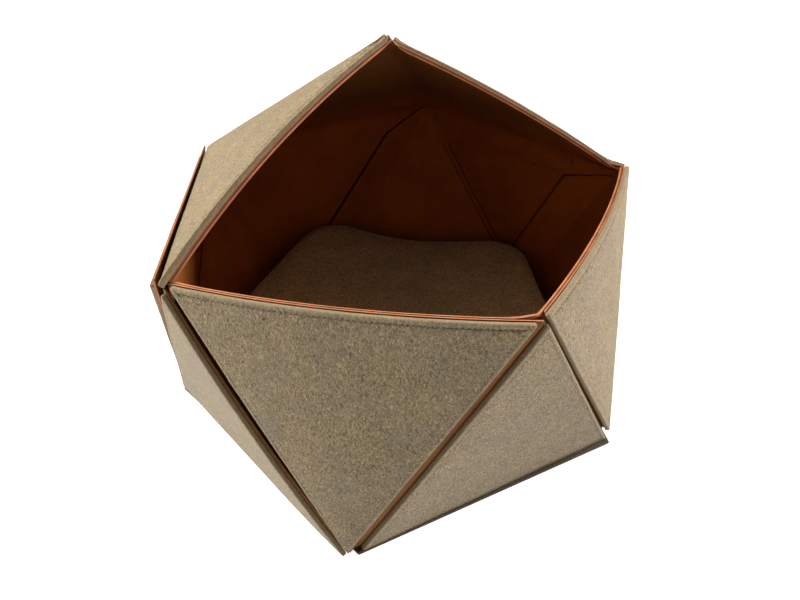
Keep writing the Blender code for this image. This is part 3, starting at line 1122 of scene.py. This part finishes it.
def build_backing(panel):
    """The leather behind one felt panel, with its flaps bent over the folds."""
    insets = backing_insets(panel)
    flaps = [flap_row(panel, i) for i in range(3)]
    reaches = [flap and [flap_reach(panel, i, end) for end in (0.0, 1.0)] for i, flap in enumerate(flaps)]
    count = 3 * (ARC_STEPS + SIDE_STEPS)
    fold_ring = ring_of(panel.flat, insets, BACKING_RADIUS * MM)
    plain = Panel(panel.name, lifted=False)
    rings = []
    for share, distance, drop in BACKING_RINGS:
        ring = []
        radius = max(0.3, BACKING_RADIUS - distance * 0.3) * MM
        flats = ring_of(panel.flat, grown(insets, distance * MM), radius)
        for k in range(count):
            i, step = divmod(k, ARC_STEPS + SIDE_STEPS)
            on_side = (step - ARC_STEPS) / SIDE_STEPS
            flap = flaps[i] if on_side > 0 else None
            length = (panel.flat[(i + 1) % 3] - panel.flat[i]).length
            near_end = min(on_side, 1 - on_side) * length
            width = 0.0
            if flap and share > 0:
                low, high = reaches[i]
                width = (low + (high - low) * on_side) * min(1.0, max(0.0, near_end / FLAP_TAPER))
            if width > 0:
                level = drop * MM
                bent = plain.place(fold_ring[k], 0.0)
                lifted = panel.place(fold_ring[k], level)
                into, up = flap
                target = bent + into * (width * share) + up * level
                ramp = min(1.0, share * 1.5)
                ring.append((lifted + into * (width * share)).lerp(target, ramp))
            else:
                ring.append(panel.place(flats[k], drop * MM))
        rings.append(ring)
    rings.append([panel.place(panel.centre, 0.0)] * count)
    return leather_sheet(f"backing_panel_{panel.name}", rings, panel)


TAB_START = 0.085  # where it starts, as a share of the hood's rim
TAB_DROP = 4.0 * MM  # how far its other end lies below the right front panel's corner
TAB_RISE = 0.4 * MM  # how far it bends up in its middle
TAB_HALF = 4.0 * MM
TAB_THICK = 2.8 * MM
TAB_LEVEL = -3.4 * MM
TAB_STEPS = 10
TAB_SIDES = 16


def with_ends(rings):
    """The rings of a strip with a point at each end, in the middle of its last ring."""
    start, end = ([sum(ring, Vector()) / len(ring)] * len(ring) for ring in (rings[0], rings[-1]))
    return [start, *rings, end]


def build_corner_tab():
    """The leather end that lies over corner U2, from the hood's rim to the right front panel."""
    hood, front = Panel("hood_right"), Panel("front_right")
    start = hood.place(hood.flat[0].lerp(hood.flat[1], TAB_START), -0.6 * MM)
    end = front.place(front.flat[1], 1.2 * MM) - Vector((0, 0, TAB_DROP))
    run = (end - start).normalized()
    back = (hood.normal + front.normal).cross(run).normalized()
    up = run.cross(back).normalized()
    if up.z < 0:
        up = -up
    if back.y < 0:
        back = -back
    rings = []
    for k in range(TAB_STEPS + 1):
        along = k / TAB_STEPS
        middle = start.lerp(end, along) + up * (TAB_RISE * math.sin(math.pi * along))
        ring = []
        for i in range(TAB_SIDES):
            turn = math.tau * i / TAB_SIDES
            wide, thick = (math.copysign(abs(f(turn)) ** 0.5, f(turn)) for f in (math.cos, math.sin))
            ring.append(middle + back * (TAB_HALF * (0.8 + wide)) + up * (TAB_THICK * thick + TAB_LEVEL))
        rings.append(ring)
    obj = loft("backing_corner_tab", with_ends(rings))
    smooth_by_angle(obj, 50)
    finish_piece(obj, "tan_leather", material("leather"))
    return obj


CUT_SOFTNESS = 0.35 * MM


def leather_sheet(name, rings, panel):
    """A sheet from its outer ring in to a point, thickened inwards, with softened cut edges."""
    obj = grid_through(name, rings)
    edit(obj, (bpy.ops.mesh.remove_doubles, {"threshold": 5e-6}))
    face_outwards(obj, panel.up)
    # painted shade: the listed panels get the dark face leather on their cut edge
    edge = material("leather" if panel.name in PAINTED_SHADE_EDGE else "cut_edge")
    finish_piece(obj, "tan_leather", material("leather"), edge)
    thicken_leather(obj, 50)
    smooth_by_angle(obj, 40)
    return obj


def thicken_leather(obj, degrees):
    """Gives a sheet the leather's thickness inwards, and softens its cut edges."""
    thickness = sizes().leather
    modify(obj, "SOLIDIFY", thickness=thickness, offset=-1, use_even_offset=False, material_offset_rim=1)
    limit = math.radians(degrees)
    modify(obj, "BEVEL", width=CUT_SOFTNESS, segments=2, limit_method="ANGLE", angle_limit=limit)


def face_outwards(obj, up):
    """Turns an open sheet's faces to the side that up points to."""
    total = sum((p.normal * p.area for p in obj.data.polygons), Vector())
    if total.dot(up) < 0:
        obj.data.flip_normals()


# Lining

LINING_STEPS = 44  # of its mesh along a panel's side
LINING_ROUNDS = 4  # of rounding the folds
FOLD_SOFTNESS = 0.6
LINING_FOLLOWS = 14 * MM  # distance from a fold at which the lining lies against a lifted panel
RIM_SOFTNESS = 0.03  # how far the lining's free edge gives way when its folds are rounded
LINING_GAP = 0.12 * MM
LINING_UNEVEN = 0.9 * MM


def shell_mesh(steps):
    """The whole shell at its folds' level as one open mesh: thirteen panels and the floor."""
    points, faces = [], []

    def triangle(place):
        rows = []
        for j in range(steps + 1):
            row = []
            for i in range(steps + 1 - j):
                row.append(len(points))
                points.append(place(i / steps, j / steps))
            rows.append(row)
        for low, high in zip(rows, rows[1:]):
            for i in range(len(high)):
                faces.append((low[i], low[i + 1], high[i]))
                if i + 1 < len(high):
                    faces.append((low[i + 1], high[i + 1], high[i]))

    for name in PANELS:
        panel, lifted = Panel(name, lifted=False), Panel(name)
        shared = [i for i in range(3) if not panel.is_free(i)]
        high = panel.flat[2].y

        def place(u, v):
            plain = panel.place(panel.flat[0] * (1 - u - v) + panel.flat[1] * u + panel.flat[2] * v, 0.0)
            out = lifted.place(lifted.flat[0] * (1 - u - v) + lifted.flat[1] * u + lifted.flat[2] * v, 0.0)
            away = min((v, 1 - u - v, u)[i] for i in shared) * high
            share = min(1.0, away / LINING_FOLLOWS)
            return plain.lerp(out, share * share * (3 - 2 * share))

        triangle(place)
    base = Base()
    for k in range(CORNERS):
        a, b, c = base.flat[k], base.flat[(k + 1) % CORNERS], base.centre
        triangle(lambda u, v: base.place(a * (1 - u - v) + b * u + c * v, 0.0))
    obj = mesh_object("lining_sheet", [tuple(p) for p in points], faces)
    edit(
        obj,
        (bpy.ops.mesh.remove_doubles, {"threshold": 5e-6}),
        (bpy.ops.mesh.normals_make_consistent, {"inside": False}),
    )
    middle = sum(fold_corners().values(), Vector()) / 11
    if sum((p.center - middle).dot(p.normal) * p.area for p in obj.data.polygons) < 0:
        obj.data.flip_normals()
    return obj


def soften_folds(mesh, rounds):
    """Rounds the folds: each point moves towards the middle of its neighbours."""
    bm = bmesh.new()
    bm.from_mesh(mesh)
    bm.verts.ensure_lookup_table()
    near = []
    rim = set()
    for vert in bm.verts:
        edges = vert.link_edges
        if vert.is_boundary:
            rim.add(vert.index)
            edges = [e for e in edges if e.is_boundary]
        near.append([e.other_vert(vert).index for e in edges])
    places = np.array([v.co[:] for v in bm.verts])
    bm.free()
    width = max(len(row) for row in near)
    filled = np.array([row + [k] * (width - len(row)) for k, row in enumerate(near)])
    counts = np.array([len(row) for row in near])[:, None]
    pull = np.array([RIM_SOFTNESS if k in rim else FOLD_SOFTNESS for k in range(len(near))])[:, None]
    for _ in range(rounds):
        total = places[filled].sum(axis=1) - places * (width - counts)
        places = places * (1 - pull) + total / counts * pull
    mesh.vertices.foreach_set("co", places.astype(np.float32).ravel())
    mesh.update()
    return rim


def build_lining():
    """The inner leather layer: one sheet over all the folds and the floor."""
    obj = shell_mesh(LINING_STEPS)
    rim = soften_folds(obj.data, LINING_ROUNDS)
    level = sizes().leather + LINING_GAP
    moves = []
    for k, vert in enumerate(obj.data.vertices):
        inward = 0.5 + 0.5 * wave(vert.co, 11, 21.0) + 0.25 * wave(vert.co, 30, 22.0)
        uneven = 0.1 if k in rim else 1.0
        moves.append(vert.normal * -(level + LINING_UNEVEN * uneven * max(0.0, inward)))
    for vert, move in zip(obj.data.vertices, moves):
        vert.co += move
    finish_piece(obj, "tan_leather", material("lining"), material("cut_edge"))
    thicken_leather(obj, 60)
    smooth_by_angle(obj, 45)
    return obj


# Laps of the lining: its panel's corners, then the lap's near and far edge as rows of corner
# weights, and its thickness in mm
LAPS = {
    "lap_back": (
        ("U3", "U4", "L3"),
        ((0.985, 0.0, 0.015), (0.85, 0.0, 0.15), (0.35, 0.0, 0.65), (0.16, 0.0, 0.84)),
        ((0.961, 0.037, 0.002), (0.731, 0.149, 0.12), (0.201, 0.179, 0.62), (0.01, 0.19, 0.80)),
        2.0,
    ),
    "lap_right": (
        ("U2", "U3", "L2"),
        ((0.955, 0.0, 0.045), (0.82, 0.0, 0.18), (0.48, 0.0, 0.52), (0.16, 0.0, 0.84)),
        ((0.945, 0.01, 0.045), (0.693, 0.177, 0.13), (0.32, 0.175, 0.505), (0.01, 0.17, 0.82)),
        1.8,
    ),
    "lap_hood": (
        ("U2", "U3", "L2"),
        ((0.80, 0.20, 0.0), (0.60, 0.40, 0.0), (0.30, 0.70, 0.0), (0.03, 0.97, 0.0)),
        ((0.72, 0.165, 0.115), (0.507, 0.365, 0.127), (0.25, 0.66, 0.09), (0.013, 0.96, 0.027)),
        0.5,
    ),
}
# How dark the painted shade line along a lap's far edge is
LAP_SHADE = {"lap_back": 1.0, "lap_right": 0.7, "lap_hood": 0.3}
# Across a lap, from its near to its far edge: share of its width, of its height, and of the crease, the
# painted shade along its far edge
LAP_SECTION = (
    (0.0, -0.3, 0.0),
    (0.25, 0.45, 0.0),
    (0.55, 0.85, 0.0),
    (0.85, 1.0, 0.0),
    (0.95, 1.0, 0.0),
    (0.985, 0.94, 0.3),
    (1.0, 0.72, 1.0),
    (1.002, 0.08, 1.0),
    (1.03, 0.06, 1.0),
    (1.06, 0.02, 0.3),
)
RIDGE_SECTION = (
    (-1.3, 0.02, 0.4),
    (-1.0, 0.10, 1.0),
    (-0.97, 0.6, 0.8),
    (-0.85, 0.85, 0.2),
    (0.0, 1.0, 0.0),
    (0.85, 0.85, 0.2),
    (0.97, 0.6, 0.8),
    (1.0, 0.10, 1.0),
    (1.3, 0.02, 0.4),
)
CREASE_SECTION = ((-1.0, 0.05, 0.2), (-0.5, 0.3, 1.0), (0.0, 0.35, 1.0), (0.5, 0.3, 1.0), (1.0, 0.05, 0.2))
# Strips along a fold: its ends, the two panels, section, how far it lies towards the first panel, its
# half width and height in mm, and where it starts and ends
FOLD_STRIPS = {
    # the crease column of a section is painted shade: dark lines along the ridge strip's edges, and over
    # nearly all of crease_left, the shadow in the gap at fold U4–L4
    "fold_strip": ("U3", "L2", ("right_back", "back_right"), RIDGE_SECTION, 0.0, 3.4, 1.2, 0.20, 0.87),
    "crease_left": ("U4", "L4", ("left_back", "back_left"), CREASE_SECTION, 9.0, 2.0, 1.0, 0.10, 0.95),
}
STRIP_STEPS = 56
STRIP_SEARCH = 20 * MM  # how far above and below its line a strip looks for the lining
STRIP_SUNK = 0.6 * MM
LAP_WANDER = 0.7 * MM


def along_row(row, share):
    """A place part way along a row of points."""
    spot = share * (len(row) - 1)
    k = min(int(spot), len(row) - 2)
    return row[k].lerp(row[k + 1], spot - k)


def strip_on(name, finder, sections):
    """A leather strip that lies on the lining. Each section is a row of (place, inward, height, crease)."""
    rings, creases = [], []
    for row in sections:
        top, under = [], []
        crease = [share for *_, share in row]
        creases.append(crease + crease[::-1])
        for place, inward, height, _ in row:
            hit = finder.ray_cast(place + inward * STRIP_SEARCH, -inward, 2 * STRIP_SEARCH)[0]
            hit = hit if hit is not None else place
            top.append(hit + inward * height)
            under.append(hit - inward * STRIP_SUNK)
        rings.append(top + under[::-1])
    obj = loft(name, with_ends(rings), crease=[creases[0], *creases, creases[-1]])
    smooth_by_angle(obj, 50)
    finish_piece(obj, "tan_leather", material("lining"))
    return obj


def build_laps(lining):
    """The edges where the lining's leather lies double, and the strip and the crease along two folds."""
    graph = bpy.context.evaluated_depsgraph_get()
    finder = BVHTree.FromObject(lining, graph)
    fold = fold_corners()
    level = 2 * sizes().leather + LAYER_GAP
    made = []
    for name, (corners, near_row, far_row, thick) in LAPS.items():
        normal = shell_normal(fold, corners)
        a, b, c = (fold[corner] - normal * level for corner in corners)
        near, far = ([a * u + b * v + c * w for u, v, w in row] for row in (near_row, far_row))
        sections = []
        shade = LAP_SHADE[name]
        for k in range(STRIP_STEPS + 1):
            start, end = along_row(near, k / STRIP_STEPS), along_row(far, k / STRIP_STEPS)
            bend = LAP_WANDER * wave(end, 30, 5.0)
            end = end + (end - start).normalized() * bend
            sections.append(
                [(start.lerp(end, s), -normal, h * thick * MM, c * shade) for s, h, c in LAP_SECTION]
            )
        made.append(strip_on(f"lining_{name}", finder, sections))
    for name, (start, end, panels, section, aside, half, height, low, high) in FOLD_STRIPS.items():
        a, b = fold[start], fold[end]
        inward = -sum((Panel(panel).normal for panel in panels), Vector()).normalized()
        across = (b - a).cross(inward).normalized()
        if across.dot(sum(Panel(panels[0]).corners, Vector()) / 3 - a) < 0:
            across = -across
        sections = []
        for k in range(STRIP_STEPS + 1):
            middle = a.lerp(b, low + (high - low) * k / STRIP_STEPS)
            middle += inward * level + across * (aside * MM)
            width = half * (1 + 0.12 * wave(middle, 35, 3.0)) * MM
            sections.append(
                [(middle + across * (s * width), inward, h * height * MM, c) for s, h, c in section]
            )
        made.append(strip_on(f"lining_{name}", finder, sections))
    return made


# Cushion

CUSHION_CROWN = 1.065  # height of the middle of its top, as a share of its height
PAD_VOXEL = 5 * MM
PAD_PRESSURE = 4.0
PAD_FRAMES = 20
PAD_MOVE = 2.5 * MM  # the furthest that the simulation may move a point
PAD_LUMPS = ((0.9 * MM, 9, 31.0), (0.5 * MM, 28, 32.0))  # of its top: height, scale and seed


def cushion_outline():
    """Plan of the cushion: a pentagon with round corners whose sides draw in a little."""
    points = []
    for k in range(CORNERS):
        heading = math.radians(-126) + k * TURN
        centre = heading_vector(heading) * CUSHION_REACH
        for step in range(CUSHION_CORNER_STEPS + 1):
            turn = heading - TURN / 2 + TURN * step / CUSHION_CORNER_STEPS
            points.append(centre + heading_vector(turn) * CUSHION_CORNER_RADIUS)
        middle = heading_vector(heading + TURN / 2)
        start = points[-1]
        end = heading_vector(heading + TURN) * CUSHION_REACH + middle * CUSHION_CORNER_RADIUS
        for step in range(1, CUSHION_SIDE_STEPS + 1):
            along = step / (CUSHION_SIDE_STEPS + 1)
            dip = CUSHION_SIDE_DIP * math.sin(math.pi * along)
            points.append(start.lerp(end, along) - middle * dip)
    return points


def cushion_rise(point):
    """How far the cushion is lifted near a corner that has been pushed up the wall."""
    rise = 0.0
    for heading, amount in CUSHION_RISE:
        high = heading_vector(math.radians(heading)) * (CUSHION_REACH + CUSHION_CORNER_RADIUS)
        near = max(0.0, 1 - (high - point).length / CUSHION_RISE_REACH)
        rise += amount * near * near * (3 - 2 * near)
    return rise


def cushion_floor():
    return sizes().felt + 2 * LAYER_GAP + 2 * sizes().leather + CUSHION_GAP


def build_cushion():
    """The filled floor cushion: it rests flat, its sides are round and its top is crowned."""
    bottom, height = cushion_floor(), sizes().cushion
    outline = cushion_outline()
    rings = [[Vector((0, 0, bottom))] * len(outline)]
    for share, up, lift in CUSHION_RINGS:
        ring = []
        for point in outline:
            place = point * share
            rise = cushion_rise(place) * lift
            place -= place.normalized() * (rise * WALL_LEAN)
            ring.append(Vector((place.x, place.y, bottom + height * up + rise)))
        rings.append(ring)
    rings.append([Vector((0, 0, bottom + height * CUSHION_CROWN))] * len(outline))
    obj = loft("cushion_pad", rings)
    modify(obj, "REMESH", mode="VOXEL", voxel_size=PAD_VOXEL)
    shape = np.array([v.co[:] for v in obj.data.vertices])
    shape = swollen(obj, shape)
    for k, place in enumerate(shape):
        spot = Vector(place)
        top = max(0.0, (spot.z - bottom) / height - 0.6)
        lumps = sum(high * wave(spot, scale, seed) for high, scale, seed in PAD_LUMPS)
        spot.z = max(spot.z + lumps * min(1.0, top * 4), bottom)
        shape[k] = spot
    move_points(obj, shape)
    modify(obj, "SUBSURF", levels=1, render_levels=1)
    for vert in obj.data.vertices:
        vert.co.z = max(vert.co.z, bottom)
    obj.data.shade_smooth()
    finish_piece(obj, "beige_pile", material("pile"))
    return obj


def swollen(obj, shape):
    """Fills the pad by a short cloth simulation, and holds each point near the drawn shape."""
    scene = bpy.context.scene
    modifier = obj.modifiers.new("Cloth", "CLOTH")
    cloth = modifier.settings
    cloth.quality = 5
    cloth.mass = 0.3
    cloth.tension_stiffness = 12
    cloth.compression_stiffness = 12
    cloth.bending_stiffness = 0.6
    cloth.use_pressure = True
    cloth.uniform_pressure_force = PAD_PRESSURE
    cloth.effector_weights.gravity = 0
    modifier.point_cache.frame_start = 1
    modifier.point_cache.frame_end = PAD_FRAMES
    first = scene.frame_current
    for frame in range(1, PAD_FRAMES + 1):
        scene.frame_set(frame)
    done = obj.evaluated_get(bpy.context.evaluated_depsgraph_get())
    filled = np.array([v.co[:] for v in done.data.vertices])
    obj.modifiers.remove(modifier)
    scene.frame_set(first)
    if len(filled) != len(shape):
        raise RuntimeError("The simulated pad has other points than its start")
    move = filled - shape
    length = np.linalg.norm(move, axis=1, keepdims=True)
    return shape + move * np.minimum(1.0, PAD_MOVE / np.maximum(length, 1e-9))


# Register

CLASSES = []


def operator_class(cls):
    CLASSES.append(cls)
    return cls


@operator_class
class CATHOUSE_OT_felt(bpy.types.Operator):
    """Models the thirteen felt panels of the shell"""

    bl_idname = "cat_house.felt"
    bl_label = "Felt panels"

    def execute(self, context):
        for name in PANELS:
            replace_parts(build_felt(Panel(name)), f"felt_{name}")
        return {"FINISHED"}


@operator_class
class CATHOUSE_OT_stitches(bpy.types.Operator):
    """Sews a row of stitches along the edges of each felt panel"""

    bl_idname = "cat_house.stitches"
    bl_label = "Stitches"

    def execute(self, context):
        model = stitch_model()
        for name in PANELS:
            panel = Panel(name)
            stitches = build_stitches(panel, model)
        return {"FINISHED"}


@operator_class
class CATHOUSE_OT_backing(bpy.types.Operator):
    """Models the leather behind each felt panel, and its flaps over the folds"""

    bl_idname = "cat_house.backing"
    bl_label = "Leather backings"

    def execute(self, context):
        for name in PANELS:
            panel = Panel(name)
            backing = build_backing(panel)
            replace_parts(backing, f"backing_{name}")
            [build_corner_tab()] if name == "front_right" else []
        return {"FINISHED"}


@operator_class
class CATHOUSE_OT_base(bpy.types.Operator):
    """Models the felt and the leather of the flat base"""

    bl_idname = "cat_house.base"
    bl_label = "Base"

    def execute(self, context):
        base = Base()
        width = max(p.x for p in base.flat) - min(p.x for p in base.flat)
        length = max(p.y for p in base.flat) - min(p.y for p in base.flat)
        felt = build_felt(base)
        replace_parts(felt, "base_felt")
        backing = build_base_backing(base)
        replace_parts(backing, "base_backing")
        return {"FINISHED"}


@operator_class
class CATHOUSE_OT_lining(bpy.types.Operator):
    """Models the leather lining, its laps and the strip along one fold"""

    bl_idname = "cat_house.lining"
    bl_label = "Lining"

    def execute(self, context):
        lining = build_lining()
        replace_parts(lining, "lining")
        laps = build_laps(lining)
        return {"FINISHED"}


@operator_class
class CATHOUSE_OT_cushion(bpy.types.Operator):
    """Models the filled cushion on the floor"""

    bl_idname = "cat_house.cushion"
    bl_label = "Cushion"

    def execute(self, context):
        cushion = build_cushion()
        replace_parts(cushion, "cushion")
        return {"FINISHED"}


@operator_class
class CATHOUSE_OT_stage(bpy.types.Operator):
    """Sets the floor, the lights, the surroundings and the camera"""

    bl_idname = "cat_house.stage"
    bl_label = "Stage"

    def execute(self, context):
        build_stage()
        return {"FINISHED"}


class CATHOUSE_PT_panel(bpy.types.Panel):
    """Lists the steps that model the cat house"""

    bl_label = "Cat house"
    bl_idname = "CATHOUSE_PT_panel"
    bl_space_type = "VIEW_3D"
    bl_region_type = "UI"
    bl_category = "Cat house"

    def draw(self, context):
        for cls in CLASSES:
            self.layout.operator(cls.bl_idname)
        for group in (context.scene.cat_house_sizes, context.scene.cat_house_colours):
            for name in group.__annotations__:
                self.layout.prop(group, name)


# Camera: fitted to the photograph's perspective
CAMERA_PLACE = (-0.2269, -0.4836, 0.4837)
CAMERA_TURN = (54.077, 0.729, -26.058)
CAMERA_LENS = 28.25
AIM = (0, 0, 0.15)
LIGHT_SIZE = 1.4
# Place, power in watts and colour
LIGHTS = {
    "left_softbox": ((-1.9, 1.4, 2.4), 210, (1.0, 0.95, 0.86)),
    "right_softbox": ((2.75, -0.50, 1.1), 141, (1.0, 0.92, 0.85)),
}


def area_light(name, place, power, colour):
    data = bpy.data.lights.new(name, "AREA")
    data.shape = "RECTANGLE"
    data.size = data.size_y = LIGHT_SIZE
    data.energy = power
    data.color = colour
    lamp = bpy.data.objects.new(name, data)
    lamp.location = place
    lamp.rotation_mode = "QUATERNION"
    lamp.rotation_quaternion = (Vector(AIM) - Vector(place)).to_track_quat("-Z", "Y")
    bpy.context.scene.collection.objects.link(lamp)


def floor_material():
    s = Shader("studio_floor", Roughness=0.9, Specular_IOR_Level=0.1, Emission_Strength=0.93)
    s.principled.inputs["Base Color"].default_value = (0.5, 0.5, 0.5, 1)
    s.principled.inputs["Emission Color"].default_value = (1, 1, 1, 1)
    return s.material


def build_stage():
    scene = bpy.context.scene
    deselect()
    bpy.ops.mesh.primitive_plane_add(size=30, location=(0, 0, -0.0005))
    floor = piece_from_active("floor")
    rest_at_origin(floor)
    floor.data.materials.append(floor_material())
    floor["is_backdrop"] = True
    world = bpy.data.worlds.new("studio")
    scene.world = world
    world.use_nodes = True
    background = world.node_tree.nodes["Background"]
    background.inputs["Color"].default_value = (1, 1, 1, 1)
    background.inputs["Strength"].default_value = 0.085
    for name, row in LIGHTS.items():
        area_light(name, *row)
    camera_data = bpy.data.cameras.new("camera")
    camera_data.lens = CAMERA_LENS
    camera_data.sensor_width = 36
    camera_data.clip_start = 0.01
    camera = bpy.data.objects.new("camera", camera_data)
    camera.location = CAMERA_PLACE
    camera.rotation_euler = [math.radians(a) for a in CAMERA_TURN]
    scene.collection.objects.link(camera)
    scene.camera = camera
    scene.view_settings.view_transform = "Standard"
    scene.view_settings.look = "None"
    scene.view_settings.exposure = 0
    scene.view_settings.gamma = 1


ALL_CLASSES = (CatHouseSizes, CatHouseColours, *CLASSES, CATHOUSE_PT_panel)


def register():
    for cls in ALL_CLASSES:
        bpy.utils.register_class(cls)
    bpy.types.Scene.cat_house_sizes = bpy.props.PointerProperty(type=CatHouseSizes)
    bpy.types.Scene.cat_house_colours = bpy.props.PointerProperty(type=CatHouseColours)


def unregister():
    del bpy.types.Scene.cat_house_colours
    del bpy.types.Scene.cat_house_sizes
    for cls in reversed(ALL_CLASSES):
        bpy.utils.unregister_class(cls)


def write_sizes():
    boxes = {"cad": CAD_BOX, "visual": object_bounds()}
    {name: [list(corner) for corner in box] for name, box in boxes.items()}


def main():
    """Models the cat house: each operator in order, the felt first, as the rest is fitted to it."""
    register()
    bpy.ops.cat_house.felt()
    bpy.ops.cat_house.backing()
    bpy.ops.cat_house.stitches()
    bpy.ops.cat_house.base()
    bpy.ops.cat_house.lining()
    bpy.ops.cat_house.cushion()
    bpy.ops.cat_house.stage()
    write_sizes()


if __name__ == "__main__":
    main()
